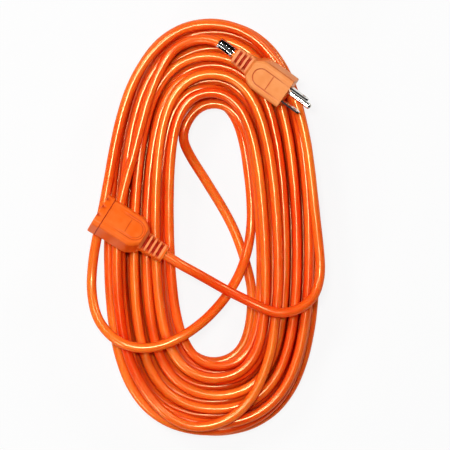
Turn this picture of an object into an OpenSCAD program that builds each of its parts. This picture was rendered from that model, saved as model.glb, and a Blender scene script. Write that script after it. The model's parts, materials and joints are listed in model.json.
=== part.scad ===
// Coiled extension cord: one cord wound into a flat oval hank, with a moulded plug and a moulded
// connector lying on top of it. It lies flat on its side, +Z up, with the middle of the pile at the
// origin and the surface that it lies on at z = 0.

/* [Cord] */
// Outside diameter of the round cord jacket
cord_d = 7.8; // [7.4:0.1:7.9]
// Space left between loops that lie on each other
layer_gap = 0.5; // [0.45:0.05:0.9]
// How much of the lowest loops is pressed flat, as a share of the diameter
rest_share = 0.1; // [0.05:0.01:0.12]
// Diameter of one insulated wire inside the jacket
wire_d = 2.6; // [2.4:0.05:2.8]
// Diameter of the stranded copper in a wire
strand_d = 1.45; // [1.2:0.05:1.5]
// Distance from the cord's middle to the middle of each wire
wire_lay_r = 1.75; // [1.7:0.05:1.9]

/* [Hank] */
// Half the width of the innermost loop
inner_half_w = 35; // [34:0.5:36]
// Half the length of the innermost loop
inner_half_l = 107; // [105:0.5:109]
// Half the width of the outermost loop
outer_half_w = 81; // [80:0.5:84]
// Half the length of the outermost loop
outer_half_l = 164; // [162:0.5:168]
// Turns of the upper coil that lie loosely on top
loose_turns = 1.7; // [1.65:0.05:1.8]

/* [Plug] */
// Width of the plug across its blades
plug_w = 25; // [24.5:0.5:26]
// Height of the plug
plug_h = 24; // [24:0.5:26]
// Length of the plug's body without its strain relief
plug_l = 36; // [34:0.5:38]
// Length of the plug's ribbed strain relief
plug_relief_l = 15; // [13:0.5:18]
// Diameter of the plug's strain relief where it meets the body
plug_relief_d = 15.5; // [14.5:0.5:16.5]
// Slots across the plug's strain relief
plug_slots = 3; // [2:1:3]

/* [Blades and pin] */
// Height of a blade
blade_w = 6.35; // [6.2:0.05:6.5]
// Thickness of a blade
blade_t = 1.5; // [1.4:0.05:1.6]
// Length of a blade beyond the plug's face
blade_l = 16.5; // [15.9:0.1:18.2]
// Diameter of the hole near a blade's tip
blade_hole_d = 3.2; // [2.8:0.1:3.6]
// Diameter of the ground pin
pin_d = 4.8; // [4.7:0.01:4.82]
// Length of the ground pin beyond the plug's face
pin_l = 20.6; // [19.5:0.1:21.4]

/* [Connector] */
// Width of the connector across its slots
conn_w = 26.5; // [26:0.5:27.5]
// Height of the connector
conn_h = 25; // [24.5:0.5:26.5]
// Length of the connector's body without flange and strain relief
conn_l = 36; // [34:0.5:40]
// Thickness of the flange round the connector's face
flange_l = 6.5; // [5:0.5:7.5]
// How far the flange stands out all round
flange_step = 0.8; // [0.6:0.1:1.2]
// Length of the connector's ribbed strain relief
conn_relief_l = 19; // [18:0.5:21]
// Diameter of the connector's strain relief where it meets the body
conn_relief_d = 16; // [15:0.5:17]
// Slots across the connector's strain relief
conn_slots = 4; // [3:1:4]
// Diameter of the connector's ground hole
ground_hole_d = 5.3; // [5.2:0.05:5.5]
// Width of the two blade slots
slot_t = 2.1; // [2:0.05:2.3]
// Height of the hot slot
hot_slot_h = 7; // [6.8:0.1:7.4]
// Height of the neutral slot
neutral_slot_h = 8.2; // [8:0.1:8.6]

/* [Moulding] */
// Diameter of the strain reliefs where the cord leaves them
relief_end_d = 13; // [12:0.25:13.5]
// Length of a slot across a strain relief
slot_l = 2.2; // [2:0.1:2.4]
// Distance from one slot of a strain relief to the next
slot_pitch = 4.2; // [4:0.1:4.3]
// Clearance between a moulding and the parts inside it
mould_gap = 0.15; // [0.1:0.05:0.2]
// Wall of the moulding round the block inside it
shell_wall = 1.8; // [1.7:0.1:2]
// Depth of the grip panels
panel_depth = 0.6; // [0.4:0.1:1]
// Width of the plug's grip panels
plug_panel_w = 14.4; // [13:0.2:16]
// Width of the connector's grip panels
conn_panel_w = 16.8; // [15:0.2:18]
// Length of the foil band on the cord behind the plug
foil_l = 14; // [12:0.5:16]
// Thickness of the foil band
foil_t = 0.3; // [0.2:0.05:0.5]

/* [Hidden] */
$fn = 48;

// ---- colours
jacket_colour = [0.95, 0.30, 0.08];
plug_colour = [1.0, 0.58, 0.30];
conn_colour = [1.0, 0.42, 0.10];
steel = [0.82, 0.82, 0.80];
brass = [0.80, 0.62, 0.28];
copper = [0.80, 0.45, 0.28];

// ---- the hank: loops run on ovals between an inner one (share 0) and an outer one (share 1)
layer_h = cord_d + layer_gap;
function layer_z(n) = cord_d * (0.5 - rest_share) + n * layer_h;
function mix(a, b, k) = a + (b - a) * k;
function ease(x) = let (c = min(1, max(0, x))) c * c * (3 - 2 * c);

// half width, half length, squareness, narrowing to the top, shift in x and y, slant
inner_oval = [inner_half_w, inner_half_l, 0.05, 0.07, 5.8, -3, -4];
outer_oval = [outer_half_w, outer_half_l, 0.036, 0.085, 4.6, 0.5, 0.5];
function oval(t, k) =
    let (p = [for (i = [0:6]) mix(inner_oval[i], outer_oval[i], k)], q = p[2])
    [p[4] + p[0] * (cos(t) - q * cos(3 * t)) / (1 - q) * (1 - p[3] * sin(t)) + p[6] * sin(t),
     p[5] + p[1] * (sin(t) + q * sin(3 * t)) / (1 - q)];

// A coil is [turns, first angle, sense, [turn, share of the width] pairs, [turn, layer] pairs,
// wander, wander phase, lean of the first loop to the middle, lean of the last].
rings_per_loop = 24;
climb = 0.5;
lower_turns = 237 / 24;
upper_turns = 275 / 24;
upper_out = (upper_turns - loose_turns) / 2 + loose_turns;
upper_coil = [upper_turns, 330, 1,
              [[0, 0.36], [loose_turns, -0.03], [upper_out, 1.01], [upper_turns, -0.03]],
              [[0, 4], [loose_turns, 3], [upper_out, 2]], 0.006, 0.8, 0, 0.12];
lower_coil = [lower_turns, 330, -1,
              [[0, -0.03], [lower_turns / 2, 1.03], [lower_turns, -0.03]],
              [[0, 0], [lower_turns / 2, 1]], 0.012, 0.3, 0.08, 0.04];

function coil_z(c, turn, i = 0) =
    i >= len(c[4]) - 1 ? layer_z(c[4][0][1])
    : coil_z(c, turn, i + 1) + (layer_z(c[4][i + 1][1]) - layer_z(c[4][i][1]))
      * ease((turn - c[4][i + 1][0]) / climb + 0.5);
function coil_point(c, turn) =
    let (f = c[1] + c[2] * 360 * turn,
         t = f + 5.73 * sin(2 * f),
         calm = pow(sin(t), 2) * ease(turn / 0.5) * ease((c[0] - turn) / 0.5),
         k = lookup(turn, c[3]) + c[5] * calm * sin(360 * (1.4 * turn + c[6]))
             - c[7] * (1 - ease(turn / 0.35)) - c[8] * (1 - ease((c[0] - turn) / 0.35)),
         xy = oval(t, k))
    [xy[0], xy[1], coil_z(c, turn)];
function unit(v) = v / norm(v);
// the ends run straight for one diameter
function coil_end(c, turn, step) =
    coil_point(c, turn) + cord_d * unit(coil_point(c, turn) - coil_point(c, turn + step));
function coil_path(c) =
    [coil_end(c, 0, 0.001),
     for (i = [0:round(c[0] * rings_per_loop)]) coil_point(c, i / rings_per_loop),
     coil_end(c, c[0], -0.001)];
upper_path = coil_path(upper_coil);
lower_path = coil_path(lower_coil);

// least gap of a coil to itself, from each point to each stretch of another loop
function to_stretch(p, a, b) =
    let (k = min(1, max(0, (p - a) * (b - a) / ((b - a) * (b - a))))) norm(p - a - (b - a) * k);
function least_gap(path, skip) =
    min([for (i = [0:len(path) - 1])
         for (j = [i + skip:len(path) - 2]) to_stretch(path[i], path[j], path[j + 1])]) - cord_d;
echo(gap_in_upper_coil = least_gap(upper_path, 8));
echo(gap_in_lower_coil = least_gap(lower_path, 8));

// ---- where the plug and the connector lie: end of the strain relief, heading, tilt up, roll
plug_at = [23.3, 135.2, 49];
plug_turn = [16, -4, -36.5];
conn_at = [-32, -21, 54.6];
conn_turn = [20, -2, 147.8];
function facing(turn) = [cos(turn[2]) * cos(turn[1]), sin(turn[2]) * cos(turn[1]), -sin(turn[1])];
module plug_place() { translate(plug_at) rotate(plug_turn) children(); }
module conn_place() { translate(conn_at) rotate(conn_turn) children(); }

// ---- free stretches of the cord, as points of its middle line
straight_l = 8;
function behind(at, turn, k) = at - facing(turn) * straight_l * k;
plug_tail_path = [
    plug_at, behind(plug_at, plug_turn, 1), behind(plug_at, plug_turn, 2),
    [2.5, 147.5, 45.5], [-6, 148.3, 42.5], [-16, 146, 39.2], [-25, 141, 37], [-32, 132, 36.5],
    [-38, 120, 36.5], [-45, 103, 36.5],
    [-51, 82, 36.5], [-57, 58, 36.5], [-64, 34, 36.5], [-69, 9, 36.5], [-70, -16, 36.5],
    [-70, -42, 36.5], [-68, -67, 36.5], [-64, -91, 36.5], [-56, -114, 36.5], [-44, -134, 36.5],
    [-29, -149, 36.5], [-11, -157, 36.5], [8, -155, 36.5], [24, -147, 36.5], [36, -134, 36.5],
    [45, -116, 36.5], upper_path[0]];
crossing_path = [
    upper_path[len(upper_path) - 1], [-16.5, 64, 16.5], [-11, 54, 12], [-2, 40, 8], [8, 24, 5],
    [18, 7, 4], [26, -11, 4], [32, -30, 4], [36, -46, 3.5], lower_path[0]];
connector_tail_path = [
    lower_path[len(lower_path) - 1], [36, 2, 11.5], [33, -18, 13.5], [26, -38, 20], [14, -57, 30],
    [0, -72, 39], [-16, -84, 44.5], [-33, -92, 45], [-49, -95, 45], [-64, -92, 45],
    [-77, -83, 42.5], [-86, -70, 38], [-90, -53, 33.5], [-90, -34, 31.5], [-87, -13, 33.5],
    [-82, 10, 36], [-77, 36, 36.5], [-72, 64, 36.5], [-66, 90, 36.5], [-58, 113, 36.5],
    [-47, 132, 36.5], [-33, 147, 36.5], [-17, 157, 36.5], [1, 160, 36.5], [19, 158, 36.5],
    [35, 151, 36.5], [50, 137, 36.5], [62, 119, 36.5], [71, 98, 36.5], [78, 73, 36.5],
    [82, 47, 36.5], [85, 20, 36.5], [88, -7, 36.5], [90, -26, 36.5], [90, -37, 37],
    [88, -48, 38.5], [83, -57, 41], [75, -63, 43.5], [65, -67, 45], [54, -67, 45.5],
    [42, -62, 45], [28, -55, 44.5], [14, -48, 45.5], [-3, -38, 50],
    behind(conn_at, conn_turn, 2), behind(conn_at, conn_turn, 1), conn_at];

function path_length(p, i = 1) = i >= len(p) ? 0 : norm(p[i] - p[i - 1]) + path_length(p, i + 1);
echo(cord_length = path_length(upper_path) + path_length(lower_path) + path_length(plug_tail_path)
     + path_length(crossing_path) + path_length(connector_tail_path));

// Rings of points along a path. Each ring stands square to it; at the ends it may take a given way.
function rings(path, d, sides, first = undef, last = undef) =
    let (n = len(path)) [for (i = [0:n - 1])
        let (way = i == 0 ? (is_undef(first) ? path[1] - path[0] : first)
                 : i == n - 1 ? (is_undef(last) ? path[i] - path[i - 1] : last)
                 : unit(path[i + 1] - path[i]) + unit(path[i] - path[i - 1]),
             t = unit(way),
             u = unit(cross(t, [0, 0, 1])),
             v = cross(u, t))
        for (s = [0:sides - 1])
            path[i] + d / 2 * (cos(360 * s / sides + 90) * u + sin(360 * s / sides + 90) * v)];
function walls(n, sides, start = 0) = [for (i = [0:n - 2]) for (s = [0:sides - 1])
    let (a = start + i * sides + s, b = start + i * sides + (s + 1) % sides) each
        [[a, b, a + sides], [b, b + sides, a + sides]]];
function turned(faces) = [for (f = faces) [f[0], f[2], f[1]]];
// A tube along a path, closed at both ends.
module tube(path, d, sides, first = undef, last = undef) {
    n = len(path);
    start = [for (s = [1:sides - 2]) [0, s + 1, s]];
    end = [for (s = [1:sides - 2]) [0, s, s + 1] + (n - 1) * sides * [1, 1, 1]];
    polyhedron(points = rings(path, d, sides, first, last),
               faces = concat(walls(n, sides), start, end), convexity = 12);
}
// A hollow tube along a path, open at both ends.
module sleeve(path, d, bore, sides, way) {
    n = len(path);
    m = n * sides;
    last = (n - 1) * sides;
    rims = [for (s = [0:sides - 1]) let (r = (s + 1) % sides) each
        [[s, m + s, r], [r, m + s, m + r],
         [last + s, last + r, last + m + s], [last + r, last + m + r, last + m + s]]];
    polyhedron(points = concat(rings(path, d, sides, way, way), rings(path, bore, sides, way, way)),
               faces = concat(walls(n, sides), turned(walls(n, sides, m)), rims), convexity = 6);
}

// what lies on the surface is pressed flat there
module resting() {
    difference() {
        children();
        translate([-150, -200, -20]) cube([300, 400, 20]);
    }
}
module coil_lower() color(jacket_colour) resting() tube(lower_path, cord_d, 6);
module coil_upper() color(jacket_colour) tube(upper_path, cord_d, 6);
module crossing_stretch() color(jacket_colour) resting()
    tube(crossing_path, cord_d, 8,
         crossing_path[0] - upper_path[len(upper_path) - 2], lower_path[1] - lower_path[0]);
module plug_tail() color(jacket_colour)
    tube(plug_tail_path, cord_d, 8, undef, upper_path[1] - upper_path[0]);
module connector_tail() color(jacket_colour)
    tube(connector_tail_path, cord_d, 8,
         connector_tail_path[0] - lower_path[len(lower_path) - 2], undef);

// ---- shapes shared by the plug and the connector. Their own frame has X towards the face,
// Y across the blades and Z up, with the end of the strain relief at the origin.
module along_x(l, d1, d2 = undef) {
    rotate([0, 90, 0]) cylinder(h = l, d1 = d1, d2 = is_undef(d2) ? d1 : d2);
}
// Ribbed strain relief: a cone with slots across its top and bottom, joined by ribs at the sides.
module relief(l, root_d, slots, first) {
    difference() {
        along_x(l + 1, relief_end_d, root_d);
        for (i = [0:slots - 1]) for (side = [-1, 1])
            translate([first + i * slot_pitch, -root_d / 2,
                       side > 0 ? cord_d / 2 + 0.7 : -cord_d / 2 - 0.7 - root_d])
                cube([slot_l, root_d, root_d]);
    }
}

// Plan of a moulded body: straight sides, with a round end towards the cord.
function plan(x0, x1, w, round_l, inset) = concat(
    [for (i = [0:12]) let (a = 90 + 15 * i)
        [x0 + round_l + (round_l - inset) * cos(a), (w / 2 - inset) * sin(a)]],
    [[x1 - inset * 0.3, inset - w / 2], [x1 - inset * 0.3, w / 2 - inset]]);
// The plan raised to a body whose long edges are rounded.
module moulded(x0, x1, w, h, round_l, edge_r) {
    hull() for (a = [0, 30, 60, 90]) for (side = [-1, 1])
        translate([0, 0, side * (h / 2 - edge_r * (1 - sin(a))) - 0.01])
            linear_extrude(0.02) polygon(plan(x0, x1, w, round_l, edge_r * (1 - cos(a))));
}
// Arched grip panel, sunk into the top and the bottom of a body.
module panel(x0, x1, w, h) {
    for (side = [-1, 1]) translate([0, 0, side * (h / 2 - panel_depth / 2)])
        linear_extrude(panel_depth, center = true) {
            translate([x0 + w / 2, 0]) circle(d = w);
            translate([x0 + w / 2, -w / 2]) square([x1 - x0 - w / 2, w]);
        }
}

// ---- the wires inside a moulding, from the jacket's end to the crimps
jacket_in = 3;
fan_l = 8;
crimp_l = 5;
crimp_wall = 0.5;
crimp_d = strand_d + 0.1 + 2 * crimp_wall;
ground_way = 270;
left_way = 30;
right_way = 150;
function lay(x, way) = [x, wire_lay_r * cos(way), wire_lay_r * sin(way)];
// points of a wire: straight in the jacket, fanned out in a soft S, straight into its crimp
function wire_points(relief_l, way, yz, x_end) =
    let (x0 = relief_l + jacket_in + 0.3, a = lay(0, way)) concat(
        [lay(0.5, way)],
        [for (i = [0:6]) let (k = ease(i / 6))
            [x0 + fan_l * i / 6, mix(a[1], yz[0], k), mix(a[2], yz[1], k)]],
        [[x_end, yz[0], yz[1]]]);
module wire(p, d) { tube(p, d, 8, [1, 0, 0], [1, 0, 0]); }
module insulation(p) {
    last = len(p) - 1;
    bare = [for (i = [0:last]) i < last ? p[i] : p[i] - [crimp_l, 0, 0]];
    sleeve(bare, wire_d, strand_d + 0.06, 8, [1, 0, 0]);
}
module strands(p) { wire(p, strand_d); }
module cord_end(relief_l) {
    difference() {
        along_x(relief_l + jacket_in, cord_d);
        for (way = [ground_way, left_way, right_way]) translate(lay(-1, way))
            along_x(relief_l + jacket_in + 2, wire_d + 0.1);
    }
}
// crimp barrel, closed at its front end
module crimp(x, yz) {
    translate([x, yz[0], yz[1]]) difference() {
        along_x(crimp_l, crimp_d);
        translate([-1, 0, 0]) along_x(crimp_l + 0.4, strand_d + 0.1);
    }
}
// the space that a moulding leaves for the cord, its wires and their crimps
module wire_space(relief_l, ways, yzs, crimp_x) {
    translate([-1, 0, 0]) along_x(relief_l + jacket_in + 1 + mould_gap, cord_d + 2 * mould_gap);
    for (i = [0:2]) {
        wire(wire_points(relief_l, ways[i], yzs[i], crimp_x), wire_d + 2 * mould_gap);
        translate([crimp_x - 1, yzs[i][0], yzs[i][1]])
            along_x(crimp_l + 2, crimp_d + 5 * mould_gap);
    }
}
module block(x0, x1, w, h, extra) {
    translate([x0 - extra, -w / 2 - extra, -h / 2 - extra])
        cube([x1 - x0 + extra, w + 2 * extra, h + 2 * extra]);
}

// ---- both ends share the blades' standard places
blade_pitch = 12.7;
ground_drop = 11.9;
blade_z = 5.4;
pin_z = blade_z - ground_drop;

// ---- plug, seen from its face with the pin down: hot left, neutral right
plug_face = plug_relief_l + plug_l;
plug_round_l = 12;
pin_root_d = pin_d + 0.8;
plug_block_l = 9;
plug_block_x = plug_face - plug_block_l;
plug_block_w = plug_w - 2 * shell_wall;
plug_block_h = plug_h - 2 * shell_wall;
plug_crimp_x = plug_block_x - crimp_l - 1;
plug_ways = [ground_way, right_way, left_way];
plug_yz = [[0, pin_z], [-blade_pitch / 2, blade_z], [blade_pitch / 2, blade_z]];
function plug_wire(i) =
    wire_points(plug_relief_l, plug_ways[i], plug_yz[i], plug_crimp_x + crimp_l - 1);

module plug_grip() color(plug_colour) plug_place() difference() {
    union() {
        moulded(plug_relief_l, plug_face, plug_w, plug_h, plug_round_l, 2.6);
        relief(plug_relief_l + 4, plug_relief_d, plug_slots, 2.4);
    }
    panel(plug_relief_l + 5, plug_face + 1, plug_panel_w, plug_h);
    wire_space(plug_relief_l, plug_ways, plug_yz, plug_crimp_x);
    block(plug_block_x, plug_face + 1, plug_block_w, plug_block_h, mould_gap);
}
module plug_cord_end() color(jacket_colour) plug_place() cord_end(plug_relief_l);
module plug_blade_block() color(plug_colour) plug_place() difference() {
    block(plug_block_x, plug_face, plug_block_w, plug_block_h, 0);
    for (i = [1, 2]) translate([plug_block_x - 1, plug_yz[i][0] - blade_t / 2 - 0.1,
                                blade_z - blade_w / 2 - 0.1])
        cube([plug_block_l + 2, blade_t + 0.2, blade_w + 0.2]);
    translate([plug_block_x - 1, 0, pin_z]) along_x(plug_block_l + 2, pin_root_d + 0.2);
}
// A flat blade with a bevelled tip, a hole near the tip, and its crimp.
module blade(yz) {
    tip = plug_face + blade_l;
    crimp(plug_crimp_x, yz);
    translate([0, yz[0], yz[1]]) difference() {
        rotate([90, 0, 0]) linear_extrude(blade_t, center = true) polygon([
            [plug_block_x - 1.4, -1.2], [plug_block_x - 0.1, -1.2], [plug_block_x - 0.1, -blade_w / 2],
            [tip - 1.6, -blade_w / 2], [tip, -blade_w / 2 + 1.3], [tip, blade_w / 2 - 1.3],
            [tip - 1.6, blade_w / 2], [plug_block_x - 0.1, blade_w / 2], [plug_block_x - 0.1, 1.2],
            [plug_block_x - 1.4, 1.2]]);
        translate([tip - 4.4, blade_t, 0]) rotate([90, 0, 0]) cylinder(h = 2 * blade_t, d = blade_hole_d);
    }
}
module plug_hot_blade() color(steel) plug_place() blade(plug_yz[1]);
module plug_neutral_blade() color(steel) plug_place() blade(plug_yz[2]);
module plug_ground_pin() color(steel) plug_place() {
    crimp(plug_crimp_x, plug_yz[0]);
    translate([plug_block_x - 1.4, 0, pin_z]) along_x(2, 2.2);
    translate([plug_block_x - 0.1, 0, pin_z]) along_x(plug_block_l + 0.1, pin_root_d);
    translate([plug_face - 1, 0, pin_z]) along_x(1 + pin_l - pin_d / 2, pin_d);
    translate([plug_face + pin_l - pin_d / 2, 0, pin_z]) sphere(d = pin_d);
}
module plug_hot_wire() color([0.1, 0.1, 0.1]) plug_place() insulation(plug_wire(1));
module plug_neutral_wire() color([0.93, 0.93, 0.9]) plug_place()
    insulation(plug_wire(2));
module plug_ground_wire() color([0.1, 0.45, 0.2]) plug_place()
    insulation(plug_wire(0));
module plug_hot_strands() color(copper) plug_place() strands(plug_wire(1));
module plug_neutral_strands() color(copper) plug_place() strands(plug_wire(2));
module plug_ground_strands() color(copper) plug_place() strands(plug_wire(0));

// foil tag wrapped round the cord just behind the plug
module foil_band() color(steel) plug_place() translate([-foil_l - 2, 0, 0]) difference() {
    along_x(foil_l, cord_d + 0.1 + 2 * foil_t);
    translate([-1, 0, 0]) along_x(foil_l + 2, cord_d + 0.1);
}

// ---- connector, seen from its face with the ground hole down: neutral left, hot right
conn_shoulder = conn_relief_l + conn_l;
conn_face = conn_shoulder + flange_l;
conn_block_l = 22;
conn_block_x = conn_face - conn_block_l;
conn_block_w = conn_w - 2 * shell_wall;
conn_block_h = conn_h - 2 * shell_wall;
conn_crimp_x = conn_block_x - crimp_l - 1;
conn_ways = [ground_way, left_way, right_way];
conn_yz = [[0, pin_z], [blade_pitch / 2, blade_z], [-blade_pitch / 2, blade_z]];
function conn_wire(i) =
    wire_points(conn_relief_l, conn_ways[i], conn_yz[i], conn_crimp_x + crimp_l - 1);
leaf_t = 0.6;
leaf_room = 4.2;
leaf_l = 17;
front_wall = 2;
ground_wall = 6;
sleeve_d = pin_d + 1.2;
sleeve_l = 15;

module rounded(w, h, r) {
    square([w, h - 2 * r], center = true);
    square([w - 2 * r, h], center = true);
    for (y = [-1, 1]) for (z = [-1, 1]) translate([y * (w / 2 - r), z * (h / 2 - r)]) circle(r);
}
module flange() {
    w = conn_w + 2 * flange_step;
    h = conn_h + 2 * flange_step;
    translate([conn_shoulder, 0, 0]) rotate([90, 0, 90]) {
        linear_extrude(flange_l - 0.8) rounded(w, h, 6);
        linear_extrude(flange_l) rounded(w - 1.6, h - 1.6, 5.2);
    }
}
module connector_grip() color(conn_colour) conn_place() difference() {
    union() {
        moulded(conn_relief_l, conn_shoulder + 1, conn_w, conn_h, 12, 3);
        relief(conn_relief_l + 3, conn_relief_d, conn_slots, 4);
        flange();
    }
    panel(conn_relief_l + 3, conn_shoulder - 2, conn_panel_w, conn_h);
    wire_space(conn_relief_l, conn_ways, conn_yz, conn_crimp_x);
    block(conn_block_x, conn_face + 1, conn_block_w, conn_block_h, mould_gap);
}
module connector_cord_end() color(jacket_colour) conn_place() cord_end(conn_relief_l);
module connector_contact_block() color(conn_colour) conn_place() difference() {
    block(conn_block_x, conn_face, conn_block_w, conn_block_h, 0);
    for (i = [1, 2]) {
        slot_h = i == 1 ? hot_slot_h : neutral_slot_h;
        translate([conn_block_x - 1, conn_yz[i][0] - slot_t / 2, blade_z - slot_h / 2])
            cube([conn_block_l + 2, slot_t, slot_h]);
        translate([conn_block_x - 1, conn_yz[i][0] - leaf_room / 2, blade_z - slot_h / 2 - 0.1])
            cube([conn_block_l + 1 - front_wall, leaf_room, slot_h + 0.2]);
    }
    translate([conn_block_x - 1, 0, pin_z]) along_x(conn_block_l + 2, ground_hole_d);
    translate([conn_block_x - 1, 0, pin_z])
        along_x(conn_block_l + 1 - ground_wall, sleeve_d + 2 * mould_gap);
}
// Two spring leaves joined at the back, and the crimp behind them.
module contact(yz, leaf_h) {
    crimp(conn_crimp_x, yz);
    translate([conn_block_x - 1.4, yz[0] - 1, yz[1] - 1]) cube([2, 2, 2]);
    translate([conn_block_x + 0.4, yz[0], yz[1]]) {
        translate([0, -leaf_room / 2 + 0.3, -leaf_h / 2]) cube([leaf_t, leaf_room - 0.6, leaf_h]);
        for (side = [0, 1]) mirror([0, side, 0]) translate([0, 0, -leaf_h / 2])
            linear_extrude(leaf_h) polygon([
                [0, leaf_room / 2 - 0.3 - leaf_t], [leaf_l - 5, blade_t / 2 + 0.05],
                [leaf_l, leaf_room / 2 - 0.4 - leaf_t], [leaf_l, leaf_room / 2 - 0.4],
                [leaf_l - 5, blade_t / 2 + 0.05 + leaf_t], [leaf_t, leaf_room / 2 - 0.3],
                [0, leaf_room / 2 - 0.3]]);
    }
}
module connector_hot_contact() color(brass) conn_place() contact(conn_yz[1], hot_slot_h - 0.3);
module connector_neutral_contact() color(brass) conn_place()
    contact(conn_yz[2], neutral_slot_h - 0.3);
// A split sleeve that grips the ground pin, closed at the back, with its crimp.
module connector_ground_contact() color(brass) conn_place() {
    crimp(conn_crimp_x, conn_yz[0]);
    translate([conn_block_x - 1.4, 0, pin_z]) along_x(2, 2.2);
    translate([conn_block_x + 0.3, 0, pin_z]) difference() {
        along_x(sleeve_l, sleeve_d);
        translate([0.8, 0, 0]) along_x(sleeve_l, pin_d + 0.1);
        translate([5, -0.4, -sleeve_d]) cube([sleeve_l, 0.8, 2 * sleeve_d]);
    }
}
module connector_hot_wire() color([0.1, 0.1, 0.1]) conn_place()
    insulation(conn_wire(1));
module connector_neutral_wire() color([0.93, 0.93, 0.9]) conn_place()
    insulation(conn_wire(2));
module connector_ground_wire() color([0.1, 0.45, 0.2]) conn_place()
    insulation(conn_wire(0));
module connector_hot_strands() color(copper) conn_place() strands(conn_wire(1));
module connector_neutral_strands() color(copper) conn_place() strands(conn_wire(2));
module connector_ground_strands() color(copper) conn_place() strands(conn_wire(0));

coil_lower();
coil_upper();
crossing_stretch();
plug_tail();
connector_tail();
foil_band();
plug_grip();
plug_cord_end();
plug_blade_block();
plug_hot_blade();
plug_neutral_blade();
plug_ground_pin();
plug_hot_wire();
plug_neutral_wire();
plug_ground_wire();
plug_hot_strands();
plug_neutral_strands();
plug_ground_strands();
connector_grip();
connector_cord_end();
connector_contact_block();
connector_hot_contact();
connector_neutral_contact();
connector_ground_contact();
connector_hot_wire();
connector_neutral_wire();
connector_ground_wire();
connector_hot_strands();
connector_neutral_strands();
connector_ground_strands();
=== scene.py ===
# %% [markdown]
# # An extension cord, wound into a hank
#
# A heavy outdoor extension cord is one round vinyl jacket round three insulated copper wires, with
# a plug moulded on one end and a connector on the other. Here it lies flat, as one takes it off
# the shelf: fifty feet of cord wound on long ovals, and the two ends laid on top.
# The CAD model carries the true sizes and the inner parts. This lesson dresses it: a smooth
# jacket along the whole route, softly moulded ends, crinkled foil, and the finishes.

# %% Load the CAD model
import json

import bmesh
import bpy
import numpy as np
from mathutils import Matrix, Vector
from mathutils.kdtree import KDTree

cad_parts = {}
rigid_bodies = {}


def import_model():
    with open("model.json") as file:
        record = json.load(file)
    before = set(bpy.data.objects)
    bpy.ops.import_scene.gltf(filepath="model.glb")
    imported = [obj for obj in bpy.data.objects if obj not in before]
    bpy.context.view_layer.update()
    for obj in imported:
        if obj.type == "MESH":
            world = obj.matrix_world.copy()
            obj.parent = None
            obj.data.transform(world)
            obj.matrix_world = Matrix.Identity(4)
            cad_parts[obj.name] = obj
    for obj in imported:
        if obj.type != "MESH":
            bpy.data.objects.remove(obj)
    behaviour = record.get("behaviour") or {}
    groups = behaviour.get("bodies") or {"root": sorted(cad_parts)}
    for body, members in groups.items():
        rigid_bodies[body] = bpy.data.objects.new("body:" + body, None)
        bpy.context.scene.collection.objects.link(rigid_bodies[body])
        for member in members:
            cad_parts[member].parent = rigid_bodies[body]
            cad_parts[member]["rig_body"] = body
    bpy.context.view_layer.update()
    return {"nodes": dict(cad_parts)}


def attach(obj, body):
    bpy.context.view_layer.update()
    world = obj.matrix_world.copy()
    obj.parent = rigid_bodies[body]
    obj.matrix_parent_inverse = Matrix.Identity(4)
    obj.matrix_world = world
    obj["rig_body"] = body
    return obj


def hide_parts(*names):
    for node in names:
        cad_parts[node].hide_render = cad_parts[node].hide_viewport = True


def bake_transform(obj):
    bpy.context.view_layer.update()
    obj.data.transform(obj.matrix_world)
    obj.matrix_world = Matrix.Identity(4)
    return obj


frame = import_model()
MM = 0.001

# %% [markdown]
# ## The camera
#
# The hank is seen from straight above, from far enough away that the top loops look hardly
# larger than the lowest. A long lens at two metres does that.

# %% Camera
def make_camera(middle, height, lens):
    lens_data = bpy.data.cameras.new("camera")
    lens_data.lens = lens
    lens_data.clip_end = 20
    made = bpy.data.objects.new("camera", lens_data)
    made.location = (*middle, height)
    bpy.context.scene.collection.objects.link(made)
    bpy.context.scene.camera = made
    return made


camera = make_camera(middle=(0.015, 0.002), height=2.0, lens=199.5)
bpy.context.scene.view_settings.view_transform = "Standard"

# %% [markdown]
# ## The route of the cord
#
# A wound cord follows a rule, so its middle line is computed and not drawn. Every loop runs on an
# oval that lies between an inner and an outer one. A share of the width says which: it grows
# steadily outwards in one layer and shrinks again in the next. The same formulas make the CAD
# model's loops, here only in finer steps.

# %% Ovals of the hank
cord_d, layer_gap, rest_share = 7.8, 0.5, 0.1
layer_h = cord_d + layer_gap
first_angle, angle_shift = 330, 5.73
# half width, half length, squareness, narrowing to the top, shift in x and y, slant
inner_oval = np.array([35, 107, 0.05, 0.07, 5.8, -3, -4.0])
outer_oval = np.array([81, 164, 0.036, 0.085, 4.6, 0.5, 0.5])


def ease(x):
    c = np.clip(x, 0, 1)
    return c * c * (3 - 2 * c)


def layer_z(n):
    return cord_d * (0.5 - rest_share) + n * layer_h


def oval(t, share):
    w, l, q, narrow, x0, y0, slant = (inner_oval[:, None] * (1 - share)
                                      + outer_oval[:, None] * share)
    across = w * (np.cos(t) - q * np.cos(3 * t)) / (1 - q) * (1 - narrow * np.sin(t))
    along = l * (np.sin(t) + q * np.sin(3 * t)) / (1 - q)
    return x0 + across + slant * np.sin(t), y0 + along


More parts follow.
